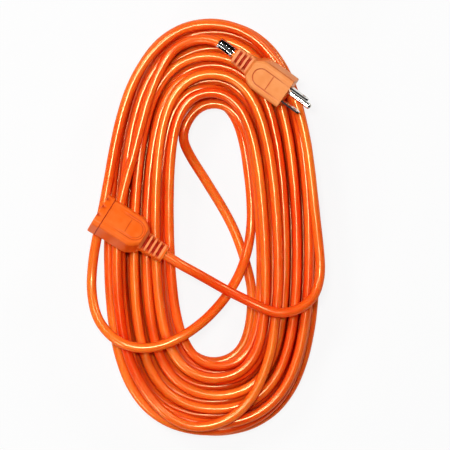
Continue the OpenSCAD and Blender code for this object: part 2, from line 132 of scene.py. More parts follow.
def coil_line(turns, sense, shares, layers, wander, phase, lean_first, lean_last, steps=216):
    """Middle line of a coil, in millimetres, with its ends straight for one diameter."""
    turn = np.linspace(0, turns, int(round(turns * steps)) + 1)
    f = np.radians(first_angle + sense * 360 * turn)
    t = f + np.radians(angle_shift) * np.sin(2 * f)
    calm = np.sin(t) ** 2 * ease(turn / 0.5) * ease((turns - turn) / 0.5)
    share = (np.interp(turn, *zip(*shares)) + wander * calm * np.sin(2 * np.pi * (1.4 * turn + phase))
             - lean_first * (1 - ease(turn / 0.35)) - lean_last * (1 - ease((turns - turn) / 0.35)))
    x, y = oval(t, share)
    z = np.full_like(turn, layer_z(layers[0][1]))
    for (_, below), (at, above) in zip(layers, layers[1:]):
        z += (layer_z(above) - layer_z(below)) * ease((turn - at) / 0.5 + 0.5)
    line = np.stack([x, y, z], 1)
    first, last = line[0] - line[1], line[-1] - line[-2]
    return np.vstack([line[0] + cord_d * first / np.linalg.norm(first), line,
                      line[-1] + cord_d * last / np.linalg.norm(last)])


lower_turns, upper_turns, loose = 237 / 24, 275 / 24, 1.7
upper_out = (upper_turns - loose) / 2 + loose
upper_line = coil_line(upper_turns, 1,
                       [[0, 0.36], [loose, -0.03], [upper_out, 1.01], [upper_turns, -0.03]],
                       [[0, 4], [loose, 3], [upper_out, 2]],
                       wander=0.006, phase=0.8, lean_first=0, lean_last=0.12)
lower_line = coil_line(lower_turns, -1,
                       [[0, -0.03], [lower_turns / 2, 1.03], [lower_turns, -0.03]],
                       [[0, 0], [lower_turns / 2, 1]],
                       wander=0.012, phase=0.3, lean_first=0.08, lean_last=0.04)
print("coils", len(upper_line), len(lower_line), "points")

# %% [markdown]
# Between the coils and the two ends the cord lies free, so there its middle line is a list of
# points: straight out of each strain relief, down on to the loops, and round the hank. A smooth
# curve is drawn through them, and then the whole route is evened out a little, as a stiff cord
# does by itself.

# %% Free stretches
def turned(degrees):
    a, b, c = np.radians(degrees)
    return np.array(Matrix.Rotation(c, 3, "Z") @ Matrix.Rotation(b, 3, "Y")
                    @ Matrix.Rotation(a, 3, "X"))


plug_at, plug_turn = np.array([23.3, 135.2, 49]), (16, -4, -36.5)
conn_at, conn_turn = np.array([-32, -21, 54.6]), (20, -2, 147.8)


def behind(at, turn, far):
    return at - turned(turn)[:, 0] * far


plug_lead = np.array([
    plug_at, behind(plug_at, plug_turn, 8), behind(plug_at, plug_turn, 16),
    [2.5, 147.5, 45.5], [-6, 148.3, 42.5], [-16, 146, 39.2], [-25, 141, 37], [-32, 132, 36.5],
    [-38, 120, 36.5], [-45, 103, 36.5],
    [-51, 82, 36.5], [-57, 58, 36.5], [-64, 34, 36.5], [-69, 9, 36.5], [-70, -16, 36.5],
    [-70, -42, 36.5], [-68, -67, 36.5], [-64, -91, 36.5], [-56, -114, 36.5], [-44, -134, 36.5],
    [-29, -149, 36.5], [-11, -157, 36.5], [8, -155, 36.5], [24, -147, 36.5], [36, -134, 36.5],
    [45, -116, 36.5]])
crossing = np.array([
    [-16.5, 64, 16.5], [-11, 54, 12], [-2, 40, 8], [8, 24, 5],
    [18, 7, 4], [26, -11, 4], [32, -30, 4], [36, -46, 3.5]])
conn_lead = np.array([
    [36, 2, 11.5], [33, -18, 13.5], [26, -38, 20], [14, -57, 30],
    [0, -72, 39], [-16, -84, 44.5], [-33, -92, 45], [-49, -95, 45], [-64, -92, 45],
    [-77, -83, 42.5], [-86, -70, 38], [-90, -53, 33.5], [-90, -34, 31.5], [-87, -13, 33.5],
    [-82, 10, 36], [-77, 36, 36.5], [-72, 64, 36.5], [-66, 90, 36.5], [-58, 113, 36.5],
    [-47, 132, 36.5], [-33, 147, 36.5], [-17, 157, 36.5], [1, 160, 36.5], [19, 158, 36.5],
    [35, 151, 36.5], [50, 137, 36.5], [62, 119, 36.5], [71, 98, 36.5], [78, 73, 36.5],
    [82, 47, 36.5], [85, 20, 36.5], [88, -7, 36.5], [90, -26, 36.5], [90, -37, 37],
    [88, -48, 38.5], [83, -57, 41], [75, -63, 43.5], [65, -67, 45], [54, -67, 45.5],
    [42, -62, 45], [28, -55, 44.5], [14, -48, 45.5], [-3, -38, 50],
    behind(conn_at, conn_turn, 16), behind(conn_at, conn_turn, 8), conn_at])

# %% One smooth route
curve_steps = 10


def smooth_through(points, steps=curve_steps):
    """A Catmull-Rom curve through the points."""
    p = np.vstack([2 * points[0] - points[1], points, 2 * points[-1] - points[-2]])
    k = np.arange(steps)[:, None] / steps
    out = []
    for a, b, c, d in zip(p, p[1:], p[2:], p[3:]):
        gap = [max(np.linalg.norm(v - u), 1e-6) ** 0.5 for u, v in ((a, b), (b, c), (c, d))]
        m1 = (c - b) + gap[1] * ((b - a) / gap[0] - (c - a) / (gap[0] + gap[1]))
        m2 = (c - b) + gap[1] * ((d - c) / gap[2] - (d - b) / (gap[1] + gap[2]))
        out.append(b + k * m1 + k ** 2 * (3 * (c - b) - 2 * m1 - m2)
                   + k ** 3 * (m1 + m2 - 2 * (c - b)))
    return np.vstack(out + [points[-1:]])


def evened(line, step):
    """The line with points an equal step apart."""
    far = np.concatenate([[0], np.cumsum(np.linalg.norm(np.diff(line, axis=0), axis=1))])
    n = int(round(far[-1] / step))
    at = np.linspace(0, far[-1], n + 1)
    return np.stack([np.interp(at, far, line[:, i]) for i in range(3)], 1)


def softened(line, reach, keep):
    """The line smoothed over a reach, in points, with its first and last points kept."""
    k = np.exp(-0.5 * (np.arange(-3 * reach, 3 * reach + 1) / reach) ** 2)
    k /= k.sum()
    wide = np.vstack([np.repeat(line[:1], 3 * reach, 0), line, np.repeat(line[-1:], 3 * reach, 0)])
    soft = np.stack([np.convolve(wide[:, i], k, "valid") for i in range(3)], 1)
    n = np.arange(len(line))
    near = np.minimum(n, n[::-1])
    w = ease((near - keep) / keep)[:, None]
    return line * (1 - w) + soft * w


# points of a coil from its end to where a free stretch's curve joins it, and to one further point
join, beyond = 9, 20
fine_step, ring_step = 1.5, 4.4
from_plug = smooth_through(np.vstack([plug_lead, upper_line[0], upper_line[join]]))
between_coils = smooth_through(np.vstack([
    upper_line[-beyond], upper_line[-join], upper_line[-1], crossing,
    lower_line[0], lower_line[join], lower_line[beyond]]))
to_connector = smooth_through(np.vstack([lower_line[-join], lower_line[-1], conn_lead]))
route = np.vstack([from_plug[:-curve_steps], upper_line[join:-join],
                   between_coils[curve_steps:-curve_steps], lower_line[join:-join], to_connector])
route = evened(softened(evened(route, fine_step), reach=4, keep=12), ring_step)
route_far = np.concatenate([[0], np.cumsum(np.linalg.norm(np.diff(route, axis=0), axis=1))])
print(f"whole cord: {route_far[-1] / 1000:.3f} m in {len(route)} rings")

# %% [markdown]
# ## Nodes as expressions
#
# Geometry Nodes and materials are both trees of nodes. Every node here comes from one function.
# A small class wraps a node's output, so that a sum can be written as plain arithmetic, and each
# operation adds its own Math node.

# %% One way to add a node
class Socket:
    def __init__(self, tree, link):
        self.tree, self.link = tree, link

    def maths(self, operation, *others, clamp=False):
        values = {f"_{i}": value for i, value in enumerate((self, *others))}
        return from_node(self.tree, "ShaderNodeMath", 0,
                         {"operation": operation, "use_clamp": clamp}, **values)

    def __add__(self, other):
        return self.maths("ADD", other)

    def __sub__(self, other):
        return self.maths("SUBTRACT", other)

    def __rsub__(self, other):
        return self * -1 + other

    def __mul__(self, other):
        return self.maths("MULTIPLY", other)

    def clamped(self):
        return self.maths("ADD", 0.0, clamp=True)

    def between(self, low, high):
        """0 below low, 1 above high, and a soft step from one to the other."""
        return from_node(self.tree, "ShaderNodeMapRange", 0, {"interpolation_type": "SMOOTHSTEP"},
                         Value=self, From_Min=low, From_Max=high)

    __radd__ = __add__
    __rmul__ = __mul__


def put(socket, value):
    """Links a socket to another node's output, or gives it a plain value."""
    if isinstance(value, Socket):
        value.tree.links.new(value.link, socket)
    else:
        socket.default_value = value


def add_node(tree, kind, settings=None, **inputs):
    """A node with its settings made first, and values or links for its sockets.

    A socket goes by its name, with _ for a space, or by its number, as in _0.
    """
    made = tree.nodes.new(kind)
    for name, value in (settings or {}).items():
        setattr(made, name, value)
    for name, value in inputs.items():
        put(made.inputs[int(name[1:]) if name[0] == "_" else name.replace("_", " ")], value)
    return made


def from_node(tree, kind, out=0, settings=None, **inputs):
    """One output of a new node, ready for arithmetic."""
    return Socket(tree, add_node(tree, kind, settings, **inputs).outputs[out])


# %% [markdown]
# ## The jacket
#
# What follows a path is Geometry Nodes' own work: a circle is swept along the route. Three soft
# ridges wind round the jacket, because the three wires inside are twisted together and the vinyl
# lies tight over them. Each point also keeps where it would lie if the cord were pulled straight,
# so that the finish can follow the cord round every bend.

# %% Node tree of the jacket
def kept(tree, geometry, name, value):
    """Keeps a value on a geometry's points, and gives back the geometry and the kept value."""
    keep = add_node(tree, "GeometryNodeCaptureAttribute")
    keep.capture_items.new("FLOAT", name)
    put(keep.inputs["Geometry"], geometry)
    put(keep.inputs[name], value)
    return Socket(tree, keep.outputs["Geometry"]), Socket(tree, keep.outputs[name])


def jacket_tree():
    tree = bpy.data.node_groups.new("jacket", "GeometryNodeTree")
    for name, kind in (("Geometry", "Geometry"), ("Radius", "Float"), ("Ridge", "Float"),
                       ("Lay", "Float"), ("Sides", "Int"), ("Finish", "Material")):
        tree.interface.new_socket(name, in_out="INPUT", socket_type=f"NodeSocket{kind}")
    tree.interface.new_socket("Geometry", in_out="OUTPUT", socket_type="NodeSocketGeometry")
    given = add_node(tree, "NodeGroupInput").outputs
    path, radius, ridge, lay, sides, finish = (Socket(tree, given[i]) for i in range(6))
    place = add_node(tree, "GeometryNodeSplineParameter").outputs
    ring = from_node(tree, "GeometryNodeCurvePrimitiveCircle", Resolution=sides, Radius=radius)
    ring, around = kept(tree, ring, "around", Socket(tree, place["Factor"]))
    path, along = kept(tree, path, "along", Socket(tree, place["Length"]))
    swept = from_node(tree, "GeometryNodeCurveToMesh", Curve=path, Profile_Curve=ring)
    angle = around * (2 * np.pi)
    twist = along.maths("DIVIDE", lay) * (2 * np.pi)
    wave = (3.0 * (angle - twist)).maths("COSINE")
    lift = from_node(tree, "ShaderNodeVectorMath", 0, {"operation": "SCALE"}, Scale=wave * ridge,
                     _0=from_node(tree, "GeometryNodeInputNormal", "Normal"))
    ridged = from_node(tree, "GeometryNodeSetPosition", Geometry=swept, Offset=lift)
    # what lies on the surface is pressed flat there
    x, y, z = (Socket(tree, part) for part in add_node(
        tree, "ShaderNodeSeparateXYZ", _0=from_node(tree, "GeometryNodeInputPosition")).outputs)
    flat = from_node(tree, "ShaderNodeCombineXYZ", X=x, Y=y, Z=z.maths("MAXIMUM", 0.0))
    resting = from_node(tree, "GeometryNodeSetPosition", Geometry=ridged, Position=flat)
    straight = from_node(tree, "ShaderNodeCombineXYZ", X=angle.maths("COSINE") * radius,
                         Y=angle.maths("SINE") * radius, Z=along)
    stored = from_node(tree, "GeometryNodeStoreNamedAttribute", 0,
                       {"data_type": "FLOAT_VECTOR", "domain": "POINT"},
                       Geometry=resting, Name="straight", Value=straight)
    real = from_node(tree, "GeometryNodeRealizeInstances", Geometry=stored)
    dressed = from_node(tree, "GeometryNodeSetMaterial", Geometry=real, Material=finish)
    add_node(tree, "NodeGroupOutput", Geometry=dressed)
    return tree


# %% Sweep the jacket along the route
def rail(points):
    """A curve object along points, with one straight step from each to the next."""
    data = bpy.data.curves.new("rail", "CURVE")
    data.dimensions = "3D"
    line = data.splines.new("POLY")
    line.points.add(len(points) - 1)
    line.points.foreach_set("co", np.c_[points * MM, np.ones(len(points))].ravel())
    made = bpy.data.objects.new("rail", data)
    bpy.context.scene.collection.objects.link(made)
    return made


def plain_mesh(made, name):
    """The evaluated result of an object with live nodes, as a mesh. The object is deleted."""
    seen = made.evaluated_get(bpy.context.evaluated_depsgraph_get())
    mesh = bpy.data.meshes.new_from_object(seen)
    mesh.name = name
    bpy.data.objects.remove(made)
    return mesh


ridge_h, lay_l, jacket_sides = 0.04, 75, 18
jacket_inputs = {"Radius": cord_d / 2 * MM, "Ridge": ridge_h * MM, "Lay": lay_l * MM,
                 "Sides": jacket_sides, "Finish": bpy.data.materials.new("jacket_vinyl")}
rail_object = rail(route)
modifier = rail_object.modifiers.new("jacket", "NODES")
modifier.node_group = jacket_tree()
for socket in modifier.node_group.interface.items_tree:
    if socket.name in jacket_inputs:
        modifier[socket.identifier] = jacket_inputs[socket.name]
jacket = plain_mesh(rail_object, "whole_jacket")
ring_n = len(jacket.vertices) // len(route)
print("jacket", len(jacket.vertices), "vertices,", ring_n, "round each ring")

# %% [markdown]
# Deep between two strands the vinyl only sees more vinyl and lies in shade, and that shade is painted
# into its colour: the orange deepens to a dark red.
# The finish needs to know where that is, so each point of the jacket keeps how near the next
# strand comes to it: 1 where the two lie together, and 0 in the open.

# %% Where strands lie together
def crevice_shade_share(rings, line, far, reach, own_l=40, level_l=3):
    """How near the next strand comes, within a reach. A strand's own length on either side of a
    ring doesn't count, and only the points of the line that lie level with the ring do."""
    heading = np.gradient(line, axis=0)
    heading /= np.linalg.norm(heading, axis=1)[:, None]
    tree = KDTree(len(line))
    for i, point in enumerate(line):
        tree.insert(point, i)
    tree.balance()
    shares = np.zeros(rings.shape[:2])
    for i, middle in enumerate(line):
        near = [j for _, j, _ in tree.find_range(middle, 2 * cord_d)
                if abs(far[j] - far[i]) > own_l]
        if near:
            apart = rings[i][:, None] - line[near]
            beside = np.linalg.norm(np.cross(apart, heading[near]), axis=2)
            level = np.abs((apart * heading[near]).sum(2)) < level_l
            gap = np.where(level, beside, np.inf).min(1) - cord_d / 2
            shares[i] = ease(1 - gap / reach)
    return shares


# %% [markdown]
# The one swept jacket is cut at two of its rings into three pieces whose rings meet exactly: the
# cord of the hank, and the two free ends by the plug and the connector.

# %% Cut the jacket into its pieces
def ring_values(data, key):
    """What each point of the jacket has, ring by ring."""
    values = np.empty(len(data) * 3, np.float32)
    data.foreach_get(key, values)
    return values.reshape(len(route), ring_n, 3)


jacket_co = ring_values(jacket.vertices, "co")
jacket_straight = ring_values(jacket.attributes["straight"].data, "vector")
jacket_crevice_shade = crevice_shade_share(jacket_co / MM, route, route_far, reach=5.0)


def add_mesh(name, points, faces, smooth=True):
    data = bpy.data.meshes.new(name)
    data.from_pydata([tuple(map(float, p)) for p in points], [], faces)
    data.validate()
    data.polygons.foreach_set("use_smooth", [smooth] * len(data.polygons))
    made = bpy.data.objects.new(name, data)
    bpy.context.scene.collection.objects.link(made)
    return made


def ring_faces(rings, n, start=0):
    s = np.arange(n)
    r = start + np.arange(rings - 1)[:, None] * n
    quads = np.stack([r + s, r + (s + 1) % n, r + (s + 1) % n + n, r + s + n], -1)
    return quads.reshape(-1, 4).tolist()


def outwards(made):
    """Turns the faces of a closed mesh so that they all point out."""
    work = bmesh.new()
    work.from_mesh(made.data)
    bmesh.ops.recalc_face_normals(work, faces=work.faces)
    work.to_mesh(made.data)
    work.free()


def store(made, name, values, kind="FLOAT"):
    """Keeps a number, or a vector, at each point of a mesh."""
    data = made.data.attributes.new(name, kind, "POINT").data
    data.foreach_set("value" if kind == "FLOAT" else "vector", values.astype(np.float32).ravel())


def cut_piece(name, first, last):
    points = jacket_co[first:last + 1].reshape(-1, 3)
    rings = last + 1 - first
    caps = [list(range(ring_n))[::-1], list(range((rings - 1) * ring_n, rings * ring_n))]
    made = add_mesh(name, points, ring_faces(rings, ring_n) + caps)
    outwards(made)
    store(made, "straight", jacket_straight[first:last + 1], "FLOAT_VECTOR")
    store(made, "tucked", jacket_crevice_shade[first:last + 1])
    made.data.set_sharp_from_angle(angle=np.radians(60))
    return made


lifting_l = 88
plug_cut = int(np.searchsorted(route_far, lifting_l))
conn_cut = int(np.searchsorted(route_far, route_far[-1] - lifting_l))
hank_cord = cut_piece("hank_cord", plug_cut, conn_cut)
plug_cord = cut_piece("plug_cord", 0, plug_cut)
connector_cord = cut_piece("connector_cord", conn_cut, len(route) - 1)
bpy.data.meshes.remove(jacket)
print("cuts at", (route[plug_cut]).round(1), (route[conn_cut]).round(1))

# %% [markdown]
# ## Finishes
#
# A finish is a small sum: a colour, plus patches, plus fine grain. The class below holds one
# material with its shader, and has short ways to the few nodes that the finishes share.

# %% A material written as a sum
class Finish:
    def __init__(self, name, **plain):
        self.material = bpy.data.materials.get(name) or bpy.data.materials.new(name)
        self.material.use_nodes = True
        self.tree = self.material.node_tree
        self.shader = self.tree.nodes["Principled BSDF"]
        for key, value in plain.items():
            self.set(key.replace("_", " "), value)

    def set(self, name, value):
        put(self.shader.inputs[name], value)

    def node(self, kind, out=0, settings=None, **inputs):
        return from_node(self.tree, kind, out, settings, **inputs)

    def place(self):
        return self.node("ShaderNodeTexCoord", "Object")

    def attribute(self, name, out="Vector"):
        return self.node("ShaderNodeAttribute", out, {"attribute_name": name})

    def stretched(self, where, scale):
        return self.node("ShaderNodeMapping", Vector=where, Scale=scale)

    def noise(self, where, scale, detail=3.0, roughness=0.5):
        return self.node("ShaderNodeTexNoise", "Fac", Vector=where, Scale=scale, Detail=detail,
                         Roughness=roughness)

    def mix(self, share, first, second):
        """The first colour, or the second where the share is 1."""
        return self.node("ShaderNodeMix", 2, {"data_type": "RGBA"}, _0=share, _6=first, _7=second)

    def bump(self, height, distance, strength):
        self.set("Normal", self.node("ShaderNodeBump", Height=height, Distance=distance,
                                     Strength=strength))


def dress(made, material):
    """Gives a piece one material, and takes off what it had."""
    made.data.materials.clear()
    made.data.materials.append(material)


def part_way(colour, other, share):
    """A plain colour, a share of the way from one to another."""
    return tuple(a + (b - a) * share for a, b in zip(colour, other))


def rgb(red, green, blue):
    """A colour as it is named on a screen, 0 to 255, made linear for the shader."""
    parts = [c / 255 for c in (red, green, blue)]
    return (*[c / 12.92 if c <= 0.04045 else ((c + 0.055) / 1.055) ** 2.4 for c in parts], 1.0)


# %% [markdown]
# ### Orange vinyl
#
# The jacket is extruded, so its faint lines run lengthwise, and its colour drifts a little from
# one stretch to the next. Handling leaves it satin in some places and glossier in others. All of
# it is read from the straightened cord's coordinates, which makes the pattern follow the bends.
# The vinyl lets a little light in, which comes out redder. A thin tinted coat deepens the orange
# towards the edge of each strand, where the eye looks through more of it.

# %% Jacket finish
def jacket_finish(name, place="straight"):
    made = Finish(name, Specular_IOR_Level=1.0, Specular_Tint=(1.0, 0.94, 0.7, 1.0),
                  Coat_Roughness=0.3, Coat_IOR=1.05, Coat_Tint=(1.0, 0.68, 0.46, 1.0),
                  Subsurface_Weight=0.6, Subsurface_Radius=(1.0, 0.1, 0.03),
                  Subsurface_Scale=0.004)
    at = made.attribute(place) if place else made.place()
    drift = made.noise(made.stretched(at, (20, 20, 5)), 1.0, 2)
    drawn = made.noise(made.stretched(at, (2600, 2600, 60)), 1.0, 3, 0.6)
    grain = made.noise(at, 2400, 3, 0.6)
    scuff = made.noise(made.stretched(at, (220, 220, 45)), 1.0, 4, 0.65)
    worn = scuff.between(0.56, 0.72)
    colour = made.mix(drift.between(0.32, 0.62), rgb(236, 82, 24), rgb(255, 148, 62))
    colour = made.mix(worn * 0.2, colour, rgb(252, 158, 92))
    # painted shade: a deep red where another strand lies close
    colour = made.mix(made.attribute("tucked", "Fac") * 0.95, colour, rgb(214, 16, 2))
    made.set("Base Color", colour)
    made.set("Roughness", 0.15 + drift * 0.05 + worn * 0.1 + grain * 0.05)
    made.set("Coat Weight", 1.0 - worn * 0.3)
    made.bump(drawn * 0.3 + grain * 0.12 + scuff * 1.2, 0.00003, 0.5)
    return made.material


jacket_vinyl = jacket_finish("jacket_vinyl")
jacket_plain = jacket_finish("jacket_inside", None)
for cord in (hank_cord, plug_cord, connector_cord):
    dress(cord, jacket_vinyl)
print("finishes", jacket_vinyl.name, jacket_plain.name)

# %% [markdown]
# ## The moulded ends
#
# Plug and connector are shot in soft vinyl round an inner block, and nothing on them is a plain
# box. A ribbed strain relief swells into the body, the long edges are bevelled, and an arched
# thumb panel is sunk into the top and the bottom. All of that is one skin, so it is lofted as one:
# ring after ring along the part's own axis, each ring a rectangle with bevelled corners.
# A ring always has the same points, so the slots and panels are made afterwards, by lowering them.
# Each point also keeps a mark, for the finish: up to 1 in a slot or line, where shade is painted,
# and down to -1 on a rib, where a highlight is painted.

# %% Rings of a moulded end
flat_points, side_points, corner_points = 56, 8, 7
edge_steps = np.array([0.0, 0.25, 0.5, 0.8])


def moulded_ring(x, half_w, half_h, bevel, bulge):
    """A rectangle with bevelled corners. Bulge 1 makes them round and 2 makes them straight."""
    a = np.radians(np.linspace(0, 90, corner_points + 1))[:-1]
    quarter = np.stack([half_w - bevel + bevel * np.sin(a) ** bulge,
                        half_h - bevel + bevel * np.cos(a) ** bulge], 1)
    near = edge_steps / (2 * (half_h - bevel))
    k = np.concatenate([near, np.linspace(near[-1], 1 - near[-1], side_points)[1:-1],
                        1 - near[:0:-1]])[:, None]
    side = np.array([half_w, half_h - bevel]) * (1 - k) + np.array([half_w, bevel - half_h]) * k
    lower = quarter[::-1] * [1, -1]
    lower = np.vstack([[half_w, bevel - half_h], lower[:-1]])
    right = np.vstack([quarter, side, lower])
    k = np.linspace(0, 1, flat_points, endpoint=False)[:, None]
    edge = half_w - bevel
    under = np.array([edge, -half_h]) * (1 - k) + np.array([-edge, -half_h]) * k
    half = np.vstack([right, under])
    return np.column_stack([np.full(2 * len(half), x), np.vstack([half, -half])])


def circle_like(ring, x, radius):
    """A circle whose points lie in the same directions as those of a ring."""
    a = np.arctan2(ring[:, 2], ring[:, 1])
    return np.column_stack([np.full(len(ring), x), radius * np.cos(a), radius * np.sin(a)])


# %% Slots, panels and the placed mesh
slot_span, slot_fade = 64, 12
face_edge, face_fade = 1.4, 1.2


def cut_slots(rings, marks, first, count, pitch, length, floor, soft=0.25):
    """Cuts slots round the top and the bottom of the relief, down to a radius, and marks them."""
    x, y, z = np.moveaxis(rings, 2, 0)
    along = sum(ease((x - a) / soft + 0.5) * ease((a + length - x) / soft + 0.5)
                for a in first + pitch * np.arange(count))
    around = 1 - ease((np.degrees(np.arctan2(np.abs(y), np.abs(z))) - slot_span) / slot_fade)
    share = np.clip(along, 0, 1) * around
    rings[:, :, 1:] *= (1 - share + share * np.minimum(1, floor / np.hypot(y, z)))[..., None]
    # the slots are marked for painted shade, and the ribs between them, below 0, for a painted
    # highlight
    rib_highlight = (1 - along) * around * (x > first - 2) * (x < first + pitch * count)
    marks[:] = np.where(share > 0.02, share, marks - rib_highlight)


def arch_distance(x, y, start, end, width):
    """How far a place lies outside an arched panel, less than nothing inside it."""
    radius = width / 2
    middle = start + radius
    rear = np.hypot(np.minimum(x - middle, 0), y) - radius
    return np.maximum(rear, x - end)


def sink(rings, marks, half_h, depth_at, line_at):
    """Lowers the top and the bottom by a depth that depends on the place, and marks its lines."""
    x, y, z = np.moveaxis(rings, 2, 0)
    on_face = ease((np.abs(z) - half_h + face_edge) / face_fade)
    rings[:, :, 2] = z - np.sign(z) * depth_at(x, y) * on_face
    # the panel's lines are marked for painted shade
    marks[:] = np.maximum(marks, line_at(x, y) * on_face)


def line(distance, width):
    """1 on a line and less beside it, for a distance from that line."""
    return np.exp(-(distance / width) ** 2)


def placed_mesh(name, local, faces, at, turn, sharp_from):
    """A closed mesh placed as in the CAD model, which keeps its own places for the finish."""
    made = add_mesh(name, (local @ turned(turn).T + at) * MM, faces)
    outwards(made)
    store(made, "local", local * MM, "FLOAT_VECTOR")
    made.data.set_sharp_from_angle(angle=np.radians(sharp_from))
    return made


def close_rings(name, rings, marks, at, turn):
    """A closed mesh of rings, with its marks."""
    count, n = rings.shape[:2]
    faces = ring_faces(count, n) + [list(range(n))[::-1], list(range((count - 1) * n, count * n))]
    made = placed_mesh(name, rings.reshape(-1, 3), faces, at, turn, sharp_from=50)
    store(made, "groove", marks)
    return made


# %% [markdown]
# The plug: its relief has three slots, and its thumb panel is deepest at a small step across the
# middle, where the thumb pushes. At the face the skin turns inwards round the block that holds
# the blades.

# %% Sizes of the plug
plug_w, plug_h, plug_relief_l, plug_l, plug_round_l = 25.0, 24.0, 15.0, 36.0, 12.0
plug_block_l, shell_wall, mould_gap = 9.0, 1.8, 0.15
relief_end_d, plug_relief_d, slot_l, slot_pitch, slot_floor = 13.0, 15.5, 2.2, 4.2, 4.9
plug_slots, plug_first_slot = 3, 2.4
plug_face = plug_relief_l + plug_l
body_bevel = 2.6
neck_l, fillet, fillet_reach = 3.2, 0.6, 2.4


def body_tracks(relief_l, relief_d, round_l, w, h, face):
    """Half width, half height, bevel and bulge of the rings, from the cord to the face."""
    def grown(x):
        k = np.clip((x - relief_l) / round_l, 0, 1)
        oval_w = w / 2 * np.sqrt(np.clip(1 - (1 - k) ** 2, 0, 1))
        rise = ease((x - relief_l + 0.6) / neck_l)
        cone = relief_end_d / 2 + (relief_d - relief_end_d) / 2 * np.clip(x / relief_l, 0, 1)
        half_w = np.maximum(oval_w, cone)
        near = np.clip(1 - np.abs(oval_w - cone) / fillet_reach, 0, 1)
        half_w = half_w + fillet * near ** 2 * (x > relief_l - 1)
        half_h = cone + (h / 2 - cone) * rise
        bevel = np.minimum(half_w, half_h) * 0.72 * (1 - rise) + body_bevel * rise
        return half_w, half_h, bevel, 1 + 0.55 * rise
    return grown


def ring_places(relief_l, face, edges):
    """Places of the rings: close together in the relief and near sudden changes."""
    fine_to = relief_l + 13
    places = [np.arange(0.5, fine_to, 0.22), np.arange(fine_to, face - 0.6, 0.5)]
    places += [edge + np.array([-0.3, -0.15, 0.0, 0.15, 0.3]) for edge in edges]
    places += [face - 0.6 + 0.6 * np.sin(np.radians([0, 30, 60, 90]))]
    places = np.unique(np.concatenate(places).round(3))
    return places[np.concatenate([[True], np.diff(places) > 0.05])]


hole_gap, rear_rings, rim_rings = 0.06, 5, 3


def grip_rings(places, grown, face, pocket_w, pocket_h, pocket_depth, front_edge=0.6):
    """The rings of a grip, from inside the cord's hole, over the skin, to the pocket's floor."""
    half_w, half_h, bevel, bulge = grown(places)
    near_face = np.clip((places - face + front_edge) / front_edge, 0, 1)
    drop = front_edge * (1 - np.sqrt(1 - near_face ** 2))
    skin = [moulded_ring(x, w - d, h - d, b, p)
            for x, w, h, b, p, d in zip(places, half_w, half_h, bevel, bulge, drop)]
    mouth = skin[0]
    rear = [circle_like(mouth, 1.8, cord_d / 2 + hole_gap),
            circle_like(mouth, 0.25, cord_d / 2 + hole_gap),
            circle_like(mouth, 0.0, cord_d / 2 + 0.3),
            mouth * [0, 0.93, 0.93], mouth * [0, 0.985, 0.985] + [0.16, 0, 0]]
    rim = [moulded_ring(x, pocket_w / 2 + mould_gap + a, pocket_h / 2 + mould_gap + a, 0.5, 1)
           for x, a in ((face, 0.25), (face - 0.2, 0.0), (face - pocket_depth, 0.0))]
    return np.array(rear + skin + rim)


# %% The plug's grip
plug_panel = dict(start=plug_relief_l + 6, end=plug_face + 3, width=13.8)
plug_step_x = plug_relief_l + 20.6


def plug_panel_depth(x, y):
    far = arch_distance(x, y, **plug_panel)
    inside = ease(-far / 0.35)
    thumb = ease((x - plug_panel["start"]) / 15) * (1 - ease((x - plug_step_x) / 0.45 + 0.5))
    middle = 1 - 0.75 * ease(np.abs(y) / (plug_panel["width"] / 2))
    return inside * (0.3 + 0.5 * thumb * middle) + 0.3 * line(far, 0.4)


def plug_panel_lines(x, y):
    """The arch's outline, which fades towards the face, and the thumb step inside it."""
    arch = line(arch_distance(x, y, **plug_panel), 0.42) * (1 - 0.75 * ease((x - plug_step_x) / 12))
    step = line(x - plug_step_x, 0.42) * (1 - ease((np.abs(y) - 5.6) / 1.2))
    return np.maximum(0.95 * arch, 0.9 * step)


side_from, groove_w = 8.0, 0.5


def edge_groove(rings, marks, half_h, bevel, start, depth):
    """The fine parting line along each side, where the bevel ends."""
    x, y, z = np.moveaxis(rings, 2, 0)
    along = ease((x - start) / 6)
    share = line(np.abs(z) - half_h + bevel, groove_w) * along * (np.abs(y) > side_from)
    rings[:, :, 1] = y - np.sign(y) * depth * share
    # the parting line is marked for painted shade
    marks[:] = np.maximum(marks, 0.85 * share)


def make_plug_grip():
    grown = body_tracks(plug_relief_l, plug_relief_d, plug_round_l, plug_w, plug_h, plug_face)
    rings = grip_rings(ring_places(plug_relief_l, plug_face, [plug_step_x]), grown, plug_face,
                       plug_w - 2 * shell_wall, plug_h - 2 * shell_wall, plug_block_l)
    marks = np.zeros(rings.shape[:2])
    skin, skin_marks = rings[rear_rings:-rim_rings], marks[rear_rings:-rim_rings]
    sink(skin, skin_marks, plug_h / 2, plug_panel_depth, plug_panel_lines)
    edge_groove(skin, skin_marks, plug_h / 2, body_bevel, start=plug_relief_l + 6, depth=0.35)
    cut_slots(skin, skin_marks, plug_first_slot, plug_slots, slot_pitch, slot_l, slot_floor)
    return close_rings("plug_skin", rings, marks, plug_at, plug_turn)


plug_skin = make_plug_grip()
print("plug_skin", len(plug_skin.data.vertices), "vertices")

# %% [markdown]
# The connector: four slots, a longer body, and a flange round its face that keeps the fingers
# back. Its panel is a low pad inside a groove, and the flange's front edge has shallow scallops
# for grip.

# %% The connector's grip
conn_w, conn_h, conn_relief_l, conn_relief_d = 26.5, 25.0, 19.0, 16.0
conn_l, conn_round_l = 36.0, 12.0
flange_l, flange_step, conn_block_l = 6.5, 0.8, 22.0
conn_shoulder = conn_relief_l + conn_l
conn_face = conn_shoulder + flange_l
conn_panel = dict(start=conn_relief_l + 3, end=conn_shoulder - 2, width=16.8)
conn_line_x = conn_relief_l + 17
conn_slots, conn_first_slot = 4, 4.0
scallops, scallop_l = (-9.5, -2.2, 5.6), 5.2


